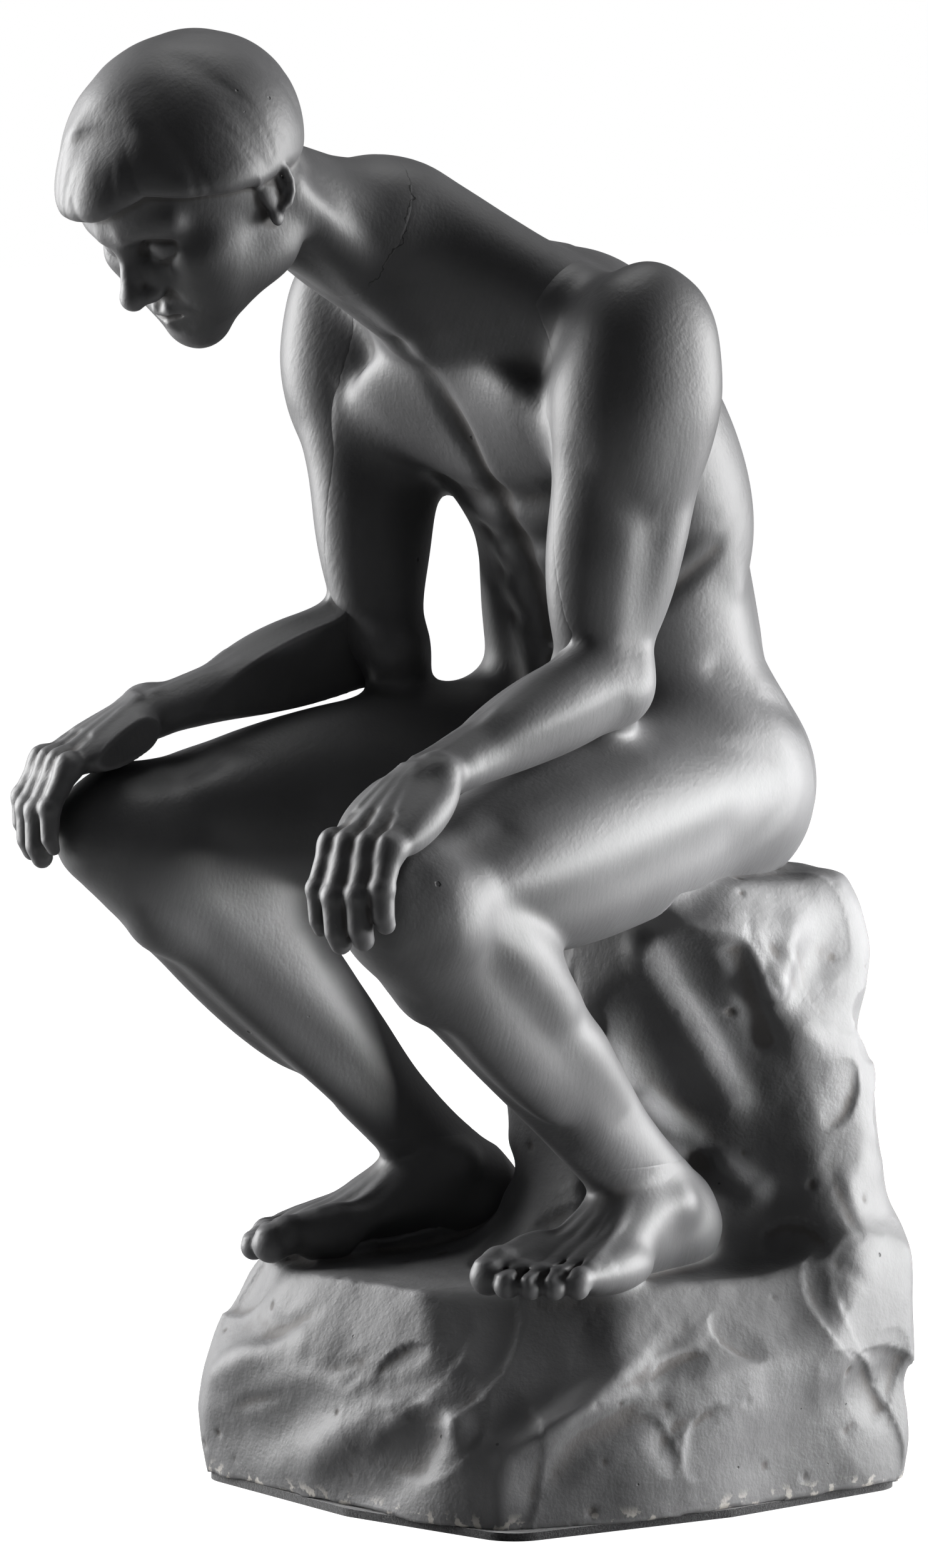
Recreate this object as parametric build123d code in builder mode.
from build123d import *
import os
from math import cos, radians, sin, sqrt

# A seated figure on a rock: resin castings that are pinned and glued together.
# Millimetres. +Z is up, the figure faces -Y, and its left side is +X.
# The origin is the middle of the felt under the rock.

os.makedirs("parts", exist_ok=True)

# Rock
FELT_THICKNESS = 1.5
FELT_INSET = 2.5
PLATE_THICKNESS = 3.0
PLATE_GAP = 0.2
PLATE_LIP = 6.0
ROCK_WIDTH = 102.0
ROCK_DEPTH = 107.0
ROCK_WALL = 11.0
ROCK_ROOF = 10.0
LEDGE_HEIGHT = 42.0
SEAT_HEIGHT = 114.0
SEAT_WIDTH = 88.0
SEAT_DEPTH = 56.0
SEAT_BACK = 24.5
CORNER_ROUND = 8.0
NICHE_RADIUS = 47.0
NICHE_OUT = 58.0
NICHE_FORWARD = 13.0
NICHE_SHOULDER = 64.0
CHIMNEY_WIDTH = 26.0
CHIMNEY_DEPTH = 22.0
CHIMNEY_BACK = SEAT_BACK + 0.12 * SEAT_DEPTH

# Fixings
STUD_RADIUS = 3.0
STUD_IN_FIGURE = 24.0
STUD_BELOW_ROOF = 10.0
WASHER_RADIUS = 9.0
WASHER_THICKNESS = 1.6
NUT_ACROSS_FLATS = 10.0
NUT_THICKNESS = 5.0
DOWEL_RADIUS = 2.0
DOWEL_DEPTH = 10.0
FOOT_DOWEL_DEPTH = 6.0
GLUE_GAP = 0.1
END_GAP = 0.5

# Legs
HIP_SPACING = 34.0
HIP_BACK = 22.0
HIP_ABOVE_SEAT = 16.0
SEAT_MUSCLE_OUT = 15.0
SEAT_MUSCLE_BACK = 8.5
SEAT_MUSCLE_RISE = 14.0
SEAT_MUSCLE_RADIUS = 17.0
THIGH_LENGTH = 92.0
SHANK_LENGTH = 92.0
ANKLE_SPACING = 50.0
ANKLE_HEIGHT = 14.5
LEFT_ANKLE_BACK = 3.0
RIGHT_ANKLE_BACK = -4.0
KNEE_SPREAD = 0.25
FOOT_SPLAY = 0.22
SOLE_DEPTH = 2.0
TOE_RADIUS = 3.0

# Trunk and head
SHOULDER_OUT = 38.0
SHOULDER_DROP = 3.0
SHOULDER_RADIUS = 13.4
SHOULDER_JOINT_OUT = 28.0
SHOULDER_JOINT_TILT = 8.0
HEAD_PITCH = 38.0
HEAD_FORWARD = 36.0
HEAD_RISE = 8.0
NOSE_LENGTH = 8.0
EAR_RADIUS = 5.0
EAR_OUT = 15.5
EAR_THICKNESS = 2.4
HAIR_THICKNESS = 3.0
HAIR_LINE_TILT = 24.0
HAIR_LINE_RISE = 3.0

# Arms
ELBOW_SHARE = 0.40
WRIST_SHARE = 0.95
ELBOW_OUT = 5.0
ELBOW_RADIUS = 9.0
WRIST_LIFT = 21.0
KNUCKLE_SHARE = 1.145
KNUCKLE_LIFT = 14.0
REST_GAP = 1.0
FINGER_RADIUS = 2.2
THUMB_RADIUS = 2.5

# Rock outlines as shares of a width and a depth
PLINTH_OUTLINE = [(-0.47, -0.46), (0.03, -0.5), (0.43, -0.44), (0.5, 0.02),
                  (0.48, 0.46), (0.08, 0.5), (-0.45, 0.47), (-0.5, -0.04)]
SEAT_OUTLINE = [(-0.46, -0.46), (0.08, -0.5), (0.46, -0.45), (0.5, 0.18),
                (0.43, 0.47), (-0.08, 0.5), (-0.45, 0.45), (-0.5, 0.0)]

# Rock sections: height as a share of the block, then the scale of each corner of the outline
PLINTH_LEVELS = [(0.0, [0.97, 0.98, 0.97, 0.98, 0.98, 0.98, 0.97, 0.98]),
                 (0.32, [1.0, 0.98, 0.99, 0.99, 1.0, 1.0, 1.0, 1.0]),
                 (0.66, [0.96, 1.0, 0.94, 1.0, 0.98, 0.95, 0.99, 0.95]),
                 (1.0, [0.9, 0.95, 0.92, 0.93, 0.96, 0.95, 0.92, 0.93])]
SEAT_LEVELS = [(0.0, [1.03, 1.02, 1.03, 1.03, 1.03, 1.02, 1.03, 1.03]),
               (0.35, [1.0, 0.98, 1.0, 1.02, 1.02, 0.96, 1.0, 1.02]),
               (0.68, [0.97, 1.0, 0.97, 0.95, 0.98, 1.0, 0.97, 0.94]),
               (1.0, [0.9, 0.92, 0.92, 0.9, 0.92, 0.92, 0.9, 0.92])]

# Chips broken off the rock: x and y as shares of the half width and half depth, height, radius
CHIPS = [(1.4, -0.72, 22.0, 24.0), (-1.44, -0.45, 20.0, 26.0), (0.55, -1.46, 14.0, 30.0),
         (-0.45, -1.45, 30.0, 27.0), (1.54, 0.35, 58.0, 36.0), (-1.55, 0.4, 66.0, 38.0),
         (0.35, 1.6, 86.0, 35.0), (-0.5, 1.62, 40.0, 36.0), (1.1, 1.2, 104.0, 24.0)]

# Muscles of the trunk: radius, then the place of one end and of the other
# A place is a distance up the spine, a distance out and a distance back
MUSCLES = [(9.2, (116.0, 6.5, 4.0), (99.0, 24.0, 3.0)), (8.0, (100.0, 13.5, 9.5), (80.0, 17.5, 12.0)),
           (10.0, (80.0, 21.5, 4.0), (48.0, 19.0, 4.5)), (6.6, (10.0, 7.6, 15.0), (40.0, 7.8, 15.2)),
           (6.8, (46.0, 8.0, 15.4), (76.0, 8.4, 14.4)), (8.6, (89.0, 18.0, -9.5), (86.0, 8.0, -11.0))]

# A muscle's sections: share of its length, share of its radius
SPINDLE = [(-0.22, 0.35), (-0.08, 0.8), (0.15, 0.97), (0.5, 1.0), (0.85, 0.97), (1.08, 0.8), (1.22, 0.35)]

# Thigh sections: share of the length, half width, half height
THIGH = [(-0.17, 7.0, 8.0), (-0.12, 14.5, 15.0), (0.0, 19.0, 19.0), (0.25, 18.5, 18.5), (0.5, 16.5, 17.0),
         (0.75, 14.0, 14.5), (0.93, 12.8, 13.2), (1.04, 11.6, 11.8), (1.11, 6.5, 6.5)]

# Shank sections: share of the length, half width, half depth, shift to the back
SHANK = [(-0.12, 7.0, 7.0, 0.0), (-0.05, 11.5, 12.0, -0.5), (0.06, 11.8, 12.5, 0.0),
         (0.2, 11.8, 12.6, 1.5), (0.32, 12.0, 13.0, 2.5), (0.5, 10.4, 11.2, 2.0),
         (0.7, 8.2, 8.8, 1.0), (0.88, 6.9, 7.6, 0.3), (1.0, 7.2, 8.0, 0.0), (1.08, 6.0, 7.0, 0.0)]

# Foot sections: distance in front of the ankle, half width, half height
FOOT = [(-14.0, 4.0, 6.0), (-10.0, 7.0, 9.5), (0.0, 7.6, 10.5), (10.0, 8.6, 8.4), (22.0, 10.2, 6.0),
        (31.0, 10.4, 4.6)]

# Toes from the inner side: sideways place, length past the foot, radius share
TOES = [(-7.0, 9.0, 1.15), (-2.2, 9.0, 0.8), (1.6, 7.5, 0.75), (5.0, 5.5, 0.7), (8.2, 3.0, 0.65)]

# Trunk sections: distance up the spine, lean from upright, half width, half depth
TRUNK = [(-17.0, 0.0, 24.0, 16.0), (0.0, 2.0, 30.5, 22.0), (20.0, 5.0, 29.0, 20.5),
         (38.0, 14.0, 28.0, 20.0), (56.0, 26.0, 30.0, 21.0), (76.0, 38.0, 33.0, 21.5),
         (95.0, 50.0, 32.0, 18.5), (110.0, 58.0, 24.0, 15.0), (124.0, 64.0, 14.0, 13.0),
         (134.0, 68.0, 11.8, 11.6)]
SHOULDER_ROW = 6

# Head sections: distance up from its middle, half width, half depth, shift to the front
HEAD = [(-21.5, 5.5, 5.0, 11.0), (-18.0, 9.8, 9.5, 8.5), (-12.0, 13.0, 14.0, 4.0),
        (-4.0, 15.5, 18.0, 1.0), (4.0, 16.6, 20.5, -0.5), (12.0, 17.0, 21.0, -1.0),
        (18.5, 15.0, 18.5, -1.5), (23.0, 10.0, 12.5, -1.5), (25.0, 3.5, 4.5, -1.5)]

# Upper arm and forearm sections: share of the length, half width, half depth
UPPER_ARM = [(-0.14, 8.0, 9.0), (0.0, 13.6, 14.8), (0.2, 13.0, 14.0), (0.45, 11.0, 12.0), (0.75, 9.4, 9.8),
             (1.02, 8.6, 8.8)]
FOREARM = [(-0.06, 8.4, 8.4), (0.2, 9.4, 8.6), (0.5, 8.4, 7.4), (0.8, 6.8, 5.4), (1.0, 6.6, 4.6)]

# Hand sections: share of the palm, half width, half thickness
PALM = [(-0.1, 6.4, 4.5), (0.3, 8.2, 4.4), (0.7, 9.2, 3.8), (1.0, 9.2, 3.0)]

# Fingers from the thumb side: sideways place, near length, far length
FINGERS = [(-6.8, 8.5, 7.5), (-2.3, 9.5, 8.5), (2.2, 9.0, 8.0), (6.6, 7.5, 6.5)]


def lean(angle):
    """The direction that leans forward from upright by an angle."""
    return Vector(0, -sin(radians(angle)), cos(radians(angle)))


def square_to(direction, sideways):
    """The part of a sideways direction that is square to another one."""
    return (sideways - direction * sideways.dot(direction)).normalized()


def bend(root, tip, upper, lower, towards):
    """The middle joint of a two-bone limb from root to tip that bends towards a direction."""
    span = tip - root
    along = span.normalized()
    reach = (upper**2 - lower**2 + span.length**2) / (2 * span.length)
    return root + along * reach + square_to(along, towards) * sqrt(upper**2 - reach**2)


def between(rows, share):
    """The last value of a table of sections, at a share between two of its rows."""
    for low, high in zip(rows, rows[1:]):
        if low[0] <= share <= high[0]:
            step = (share - low[0]) / (high[0] - low[0])
            return low[2] + (high[2] - low[2]) * step


def oval(centre, direction, sideways, half_width, half_depth):
    """An oval section that faces along a direction."""
    facing = direction.normalized()
    with BuildSketch(Plane(centre, x_dir=square_to(facing, sideways), z_dir=facing)) as section:
        Ellipse(half_width, half_depth)
    return section.sketch


def limb(start, end, sideways, rows):
    """A limb lofted through ovals at shares of its length."""
    span = end - start
    loft(sections=[oval(start + span * row[0], span, sideways, row[1], row[2]) for row in rows])


def taper(start, end, start_radius, end_radius):
    """A round length that tapers to a rounded end."""
    span = end - start
    with Locations(Plane(start, z_dir=span)):
        Cone(start_radius, end_radius, span.length, align=(Align.CENTER, Align.CENTER, Align.MIN))
    with Locations(end):
        Sphere(1.03 * end_radius)


def outline(points, width, depth, back, height, corner):
    """A rounded rock outline at a height."""
    places = [(x * width, back + y * depth) for x, y in points]
    with BuildSketch(Plane.XY.offset(height)) as section:
        with BuildLine():
            Polyline(*places, close=True)
        make_face()
        fillet(section.vertices(), corner)
    return section.sketch


def block(points, width, depth, back, bottom, top, levels):
    """A rock block lofted through scaled outlines from a bottom height to a top height."""
    sections = []
    for share, scales in levels:
        height = bottom + share * (top - bottom)
        scaled = [(x * scale, y * scale) for (x, y), scale in zip(points, scales)]
        sections.append(outline(scaled, width, depth, back, height, CORNER_ROUND))
    loft(sections=sections)


def leg(hip, knee, ankle, side):
    """A leg with its foot; side is 1 for the left and -1 for the right."""
    limb(hip, knee, Vector(1, 0, 0), THIGH)
    shin = (ankle - knee).normalized()
    back = square_to(shin, Vector(0, 1, 0))
    across = shin.cross(back)
    span = ankle - knee
    calf = []
    for share, half_width, half_depth, shift in SHANK:
        calf.append(oval(knee + span * share + back * shift, span, across, half_width, half_depth))
    loft(sections=calf)
    toward = Vector(side * FOOT_SPLAY, -1, 0).normalized()
    outer = Vector(0, 0, side).cross(toward)
    heel = Vector(ankle.X, ankle.Y, LEDGE_HEIGHT - SOLE_DEPTH)
    instep = []
    for distance, half_width, half_height in FOOT:
        middle = heel + toward * distance + Vector(0, 0, half_height)
        instep.append(oval(middle, toward, outer, half_width, half_height))
    loft(sections=instep)
    ball = heel + toward * (FOOT[-1][0] - 2)
    for place, length, share in TOES:
        radius = TOE_RADIUS * share
        root = ball + outer * place + Vector(0, 0, SOLE_DEPTH + radius)
        taper(root, root + toward * (length + 2 - radius), 1.05 * radius, radius)


def arm(hip, knee, shoulder, side):
    """An arm that rests along a thigh, with its hand over the knee."""
    along = (knee - hip).normalized()
    up = square_to(along, Vector(0, 0, 1))
    outer = up.cross(along) * side
    knuckle_place = hip + along * (THIGH_LENGTH * KNUCKLE_SHARE) + up * KNUCKLE_LIFT
    wrist = hip + along * (THIGH_LENGTH * WRIST_SHARE) + up * WRIST_LIFT
    lift = between(THIGH, ELBOW_SHARE) + REST_GAP + ELBOW_RADIUS
    elbow = hip + along * (THIGH_LENGTH * ELBOW_SHARE) + up * lift + outer * ELBOW_OUT
    with Locations(shoulder):
        Sphere(SHOULDER_RADIUS)
    limb(shoulder, elbow, outer, UPPER_ARM)
    with Locations(elbow):
        Sphere(ELBOW_RADIUS)
    limb(elbow, wrist, outer, FOREARM)
    limb(wrist, knuckle_place, outer, PALM)
    palm = (knuckle_place - wrist).normalized()
    down = up * -1
    for place, near, far in FINGERS:
        root = knuckle_place + outer * place
        middle = root + (palm * 0.7 + down * 0.75).normalized() * near
        tip = middle + (along * 0.05 + down).normalized() * far
        taper(root, middle, 1.12 * FINGER_RADIUS, 1.05 * FINGER_RADIUS)
        taper(middle, tip, FINGER_RADIUS, 0.82 * FINGER_RADIUS)
    base = wrist + palm * 5 - outer * 6.5
    thumb_middle = base + (palm * 0.8 - outer * 0.6).normalized() * 9
    thumb_tip = thumb_middle + (palm + down * 0.25).normalized() * 8
    taper(base, thumb_middle, 1.35 * THUMB_RADIUS, 1.1 * THUMB_RADIUS)
    taper(thumb_middle, thumb_tip, THUMB_RADIUS, 0.8 * THUMB_RADIUS)


def bore(plane, radius, depth):
    """A blind hole that runs from a plane against its direction."""
    with Locations(plane):
        Cylinder(radius, depth, align=(Align.CENTER, Align.CENTER, Align.MAX), mode=Mode.SUBTRACT)


def facing_back(plane):
    """The same plane, seen from its other side."""
    return Plane(plane.origin, x_dir=plane.x_dir, z_dir=plane.z_dir * -1)


# Joints of the legs
left_hip = Vector(HIP_SPACING / 2, HIP_BACK, SEAT_HEIGHT + HIP_ABOVE_SEAT)
right_hip = Vector(-HIP_SPACING / 2, HIP_BACK, SEAT_HEIGHT + HIP_ABOVE_SEAT)
left_ankle = Vector(ANKLE_SPACING / 2, LEFT_ANKLE_BACK, LEDGE_HEIGHT + ANKLE_HEIGHT)
right_ankle = Vector(-ANKLE_SPACING / 2, RIGHT_ANKLE_BACK, LEDGE_HEIGHT + ANKLE_HEIGHT)
left_knee = bend(left_hip, left_ankle, THIGH_LENGTH, SHANK_LENGTH, Vector(KNEE_SPREAD, -1, 0.1))
right_knee = bend(right_hip, right_ankle, THIGH_LENGTH, SHANK_LENGTH, Vector(-KNEE_SPREAD, -1, 0.1))

# Places along the spine
spine = [Vector(0, HIP_BACK, SEAT_HEIGHT + HIP_ABOVE_SEAT - 2) + lean(TRUNK[0][1]) * TRUNK[0][0]]
for lower, upper in zip(TRUNK, TRUNK[1:]):
    spine.append(spine[-1] + lean((lower[1] + upper[1]) / 2) * (upper[0] - lower[0]))
chest = spine[SHOULDER_ROW]


def on_trunk(up, out, back):
    """A place by its distance up the spine, out to the side and back from the spine."""
    row = 0
    while up > TRUNK[row + 1][0]:
        row += 1
    lower = TRUNK[row]
    upper = TRUNK[row + 1]
    share = (up - lower[0]) / (upper[0] - lower[0])
    tilt = lower[1] + (upper[1] - lower[1]) * share
    middle = spine[row] + (spine[row + 1] - spine[row]) * share
    return middle + Vector(out, 0, 0) + lean(tilt).cross(Vector(1, 0, 0)) * back



# Joint planes face away from the trunk
neck_joint = Plane(spine[-1], x_dir=(1, 0, 0), z_dir=lean(TRUNK[-1][1]))
left_shoulder = chest + Vector(SHOULDER_OUT, 0, -SHOULDER_DROP)
right_shoulder = chest + Vector(-SHOULDER_OUT, 0, 0)
slope = radians(SHOULDER_JOINT_TILT)
inward = Vector(SHOULDER_OUT - SHOULDER_JOINT_OUT, 0, 0)
left_joint = Plane(left_shoulder - inward, x_dir=(0, 1, 0), z_dir=(cos(slope), 0, sin(slope)))
right_joint = Plane(right_shoulder + inward, x_dir=(0, 1, 0), z_dir=(-cos(slope), 0, sin(slope)))

# Planes where the figure meets the rock
seat_plane = Plane((0, CHIMNEY_BACK, SEAT_HEIGHT))
soles = [Plane((ankle.X, ankle.Y, LEDGE_HEIGHT)) for ankle in (left_ankle, right_ankle)]

with BuildPart() as figure_body:
    trunk = []
    for place, row in zip(spine, TRUNK):
        trunk.append(oval(place, lean(row[1]), Vector(1, 0, 0), row[2], row[3]))
    loft(sections=trunk)
    leg(left_hip, left_knee, left_ankle, 1)
    leg(right_hip, right_knee, right_ankle, -1)
    # muscles of the trunk and seat
    for side in (1, -1):
        for radius, (up, out, back), (end_up, end_out, end_back) in MUSCLES:
            start = on_trunk(up, side * out, back)
            end = on_trunk(end_up, side * end_out, end_back)
            swell = [(share, radius * part, radius * part) for share, part in SPINDLE]
            limb(start, end, Vector(1, 0, 0), swell)
        with Locations((side * SEAT_MUSCLE_OUT, HIP_BACK + SEAT_MUSCLE_BACK, SEAT_HEIGHT + SEAT_MUSCLE_RISE)):
            Sphere(SEAT_MUSCLE_RADIUS)
    # flat under the seat and under the soles
    with Locations((0, 0, LEDGE_HEIGHT)):
        Box(3 * ROCK_WIDTH, 3 * ROCK_DEPTH, LEDGE_HEIGHT, align=(Align.CENTER, Align.CENTER, Align.MAX),
            mode=Mode.SUBTRACT)
    with Locations((0, SEAT_BACK - SEAT_DEPTH / 2, SEAT_HEIGHT)):
        Box(2 * ROCK_WIDTH, 2 * SEAT_DEPTH, 30, align=(Align.CENTER, Align.MIN, Align.MAX),
            mode=Mode.SUBTRACT)
    # flat faces for the arms
    for joint in (left_joint, right_joint):
        with Locations(joint):
            Box(60, 50, 40, align=(Align.CENTER, Align.CENTER, Align.MIN), mode=Mode.SUBTRACT)
        bore(joint, DOWEL_RADIUS + GLUE_GAP, DOWEL_DEPTH + END_GAP)
    bore(neck_joint, DOWEL_RADIUS + GLUE_GAP, DOWEL_DEPTH + END_GAP)
    bore(facing_back(seat_plane), STUD_RADIUS + GLUE_GAP, STUD_IN_FIGURE + END_GAP)
    for sole in soles:
        bore(facing_back(sole), DOWEL_RADIUS + GLUE_GAP, FOOT_DOWEL_DEPTH + END_GAP)
figure_body.part.label = "figure_body"
export_step(figure_body.part, "parts/figure_body.step")

with BuildPart() as left_arm:
    arm(left_hip, left_knee, left_shoulder, 1)
    split(bisect_by=left_joint, keep=Keep.TOP)
    bore(facing_back(left_joint), DOWEL_RADIUS + GLUE_GAP, DOWEL_DEPTH + END_GAP)
left_arm.part.label = "left_arm"
export_step(left_arm.part, "parts/left_arm.step")

with BuildPart() as right_arm:
    arm(right_hip, right_knee, right_shoulder, -1)
    split(bisect_by=right_joint, keep=Keep.TOP)
    bore(facing_back(right_joint), DOWEL_RADIUS + GLUE_GAP, DOWEL_DEPTH + END_GAP)
right_arm.part.label = "right_arm"
export_step(right_arm.part, "parts/right_arm.step")

# Directions of the head: up to the crown, and out of the face
crown = lean(HEAD_PITCH)
face = Vector(0, -cos(radians(HEAD_PITCH)), -sin(radians(HEAD_PITCH)))
head_middle = neck_joint.origin + Vector(0, -HEAD_FORWARD, HEAD_RISE)


def skull(rows, extra):
    """The skull lofted through its sections, with an extra thickness all over."""
    sections = []
    for distance, half_width, half_depth, shift in rows:
        middle = head_middle + crown * (distance + extra) + face * shift
        sections.append(oval(middle, crown, Vector(1, 0, 0), half_width + extra, half_depth + extra))
    loft(sections=sections)


with BuildPart() as hair:
    skull(HEAD[2:], HAIR_THICKNESS)
    hair_line = Plane(head_middle + crown * HAIR_LINE_RISE, x_dir=(1, 0, 0),
                      z_dir=lean(HEAD_PITCH + HAIR_LINE_TILT))
    split(bisect_by=hair_line, keep=Keep.TOP)

with BuildPart() as head:
    skull(HEAD, 0)
    add(hair.part)
    # neck
    neck_width = TRUNK[-1][2]
    neck_depth = TRUNK[-1][3]
    throat = head_middle - face * 5 - crown * 4
    neck_root = oval(neck_joint.origin, neck_joint.z_dir, Vector(1, 0, 0), neck_width, neck_depth)
    neck_top = oval(throat, throat - neck_joint.origin, Vector(1, 0, 0), neck_width - 0.6, neck_depth - 0.4)
    loft(sections=[neck_root, neck_top])
    # nose and ears
    bridge = head_middle + face * 17.5 + crown * 3
    taper(bridge, bridge + face * 3 - crown * NOSE_LENGTH, 2.0, 2.8)
    for side in (1, -1):
        ear = head_middle + Vector(side * EAR_OUT, 0, 0) - crown * 3 - face * 2
        with Locations(Plane(ear, x_dir=face, z_dir=(side, 0, 0))):
            Cylinder(EAR_RADIUS, EAR_THICKNESS)
    bore(facing_back(neck_joint), DOWEL_RADIUS + GLUE_GAP, DOWEL_DEPTH + END_GAP)
head.part.label = "head"
export_step(head.part, "parts/head.step")

# Hollow of the rock, over the base plate
plate_top = FELT_THICKNESS + PLATE_THICKNESS
seat_roof = SEAT_HEIGHT - ROCK_ROOF
ledge_roof = LEDGE_HEIGHT - ROCK_ROOF
plate_width = ROCK_WIDTH - 2 * PLATE_LIP
plate_depth = ROCK_DEPTH - 2 * PLATE_LIP

with BuildPart() as rock_base:
    root = LEDGE_HEIGHT - 4
    block(SEAT_OUTLINE, SEAT_WIDTH, SEAT_DEPTH, SEAT_BACK, root, SEAT_HEIGHT, SEAT_LEVELS)
    # a niche behind each leg
    for side in (1, -1):
        with Locations((side * NICHE_OUT, -NICHE_FORWARD, NICHE_SHOULDER)):
            Cylinder(NICHE_RADIUS, NICHE_SHOULDER, align=(Align.CENTER, Align.CENTER, Align.MAX),
                     mode=Mode.SUBTRACT)
            Sphere(NICHE_RADIUS, mode=Mode.SUBTRACT)
    block(PLINTH_OUTLINE, ROCK_WIDTH, ROCK_DEPTH, 0, FELT_THICKNESS, LEDGE_HEIGHT, PLINTH_LEVELS)
    for x, y, height, radius in CHIPS:
        with Locations((x * ROCK_WIDTH / 2, y * ROCK_DEPTH / 2, height)):
            Sphere(radius, mode=Mode.SUBTRACT)
    # hollow, chimney and the step for the plate
    inner_width = ROCK_WIDTH - 2 * ROCK_WALL
    inner_depth = ROCK_DEPTH - 2 * ROCK_WALL
    hollow = outline(PLINTH_OUTLINE, inner_width, inner_depth, 0, FELT_THICKNESS, CORNER_ROUND)
    extrude(hollow, amount=ledge_roof - FELT_THICKNESS, mode=Mode.SUBTRACT)
    with Locations((0, CHIMNEY_BACK, plate_top)):
        Box(CHIMNEY_WIDTH, CHIMNEY_DEPTH, seat_roof - plate_top,
            align=(Align.CENTER, Align.CENTER, Align.MIN), mode=Mode.SUBTRACT)
    step = outline(PLINTH_OUTLINE, plate_width, plate_depth, 0, FELT_THICKNESS, CORNER_ROUND)
    extrude(step, amount=PLATE_THICKNESS, mode=Mode.SUBTRACT)
    bore(seat_plane, STUD_RADIUS + GLUE_GAP, ROCK_ROOF)
    for sole in soles:
        bore(sole, DOWEL_RADIUS + GLUE_GAP, FOOT_DOWEL_DEPTH + END_GAP)
    add(figure_body.part, mode=Mode.SUBTRACT)
rock_base.part.label = "rock_base"
export_step(rock_base.part, "parts/rock_base.step")

with BuildPart() as base_plate:
    board_width = plate_width - 2 * PLATE_GAP
    board_depth = plate_depth - 2 * PLATE_GAP
    shape = outline(PLINTH_OUTLINE, board_width, board_depth, 0, FELT_THICKNESS, CORNER_ROUND)
    extrude(shape, amount=PLATE_THICKNESS)
base_plate.part.label = "base_plate"
export_step(base_plate.part, "parts/base_plate.step")

with BuildPart() as felt_sheet:
    sheet_width = ROCK_WIDTH - 2 * FELT_INSET
    sheet_depth = ROCK_DEPTH - 2 * FELT_INSET
    shape = outline(PLINTH_OUTLINE, sheet_width, sheet_depth, 0, 0, CORNER_ROUND)
    extrude(shape, amount=FELT_THICKNESS)
felt_sheet.part.label = "felt_sheet"
export_step(felt_sheet.part, "parts/felt_sheet.step")

with BuildPart() as neck_dowel:
    with Locations(neck_joint):
        Cylinder(DOWEL_RADIUS, 2 * DOWEL_DEPTH)
neck_dowel.part.label = "neck_dowel"
export_step(neck_dowel.part, "parts/neck_dowel.step")

with BuildPart() as left_shoulder_dowel:
    with Locations(left_joint):
        Cylinder(DOWEL_RADIUS, 2 * DOWEL_DEPTH)
left_shoulder_dowel.part.label = "left_shoulder_dowel"
export_step(left_shoulder_dowel.part, "parts/left_shoulder_dowel.step")

with BuildPart() as right_shoulder_dowel:
    with Locations(right_joint):
        Cylinder(DOWEL_RADIUS, 2 * DOWEL_DEPTH)
right_shoulder_dowel.part.label = "right_shoulder_dowel"
export_step(right_shoulder_dowel.part, "parts/right_shoulder_dowel.step")

with BuildPart() as left_foot_dowel:
    with Locations(soles[0]):
        Cylinder(DOWEL_RADIUS, 2 * FOOT_DOWEL_DEPTH)
left_foot_dowel.part.label = "left_foot_dowel"
export_step(left_foot_dowel.part, "parts/left_foot_dowel.step")

with BuildPart() as right_foot_dowel:
    with Locations(soles[1]):
        Cylinder(DOWEL_RADIUS, 2 * FOOT_DOWEL_DEPTH)
right_foot_dowel.part.label = "right_foot_dowel"
export_step(right_foot_dowel.part, "parts/right_foot_dowel.step")

with BuildPart() as seat_stud:
    with Locations((0, CHIMNEY_BACK, seat_roof - STUD_BELOW_ROOF)):
        Cylinder(STUD_RADIUS, STUD_BELOW_ROOF + ROCK_ROOF + STUD_IN_FIGURE,
                 align=(Align.CENTER, Align.CENTER, Align.MIN))
seat_stud.part.label = "seat_stud"
export_step(seat_stud.part, "parts/seat_stud.step")

with BuildPart() as seat_washer:
    with Locations((0, CHIMNEY_BACK, seat_roof)):
        Cylinder(WASHER_RADIUS, WASHER_THICKNESS, align=(Align.CENTER, Align.CENTER, Align.MAX))
        Cylinder(STUD_RADIUS + GLUE_GAP, WASHER_THICKNESS, align=(Align.CENTER, Align.CENTER, Align.MAX),
                 mode=Mode.SUBTRACT)
seat_washer.part.label = "seat_washer"
export_step(seat_washer.part, "parts/seat_washer.step")

with BuildPart() as seat_nut:
    with BuildSketch(Plane((0, CHIMNEY_BACK, seat_roof - WASHER_THICKNESS))):
        RegularPolygon(NUT_ACROSS_FLATS / 2, 6, major_radius=False)
        Circle(STUD_RADIUS + GLUE_GAP, mode=Mode.SUBTRACT)
    extrude(amount=-NUT_THICKNESS)
seat_nut.part.label = "seat_nut"
export_step(seat_nut.part, "parts/seat_nut.step")
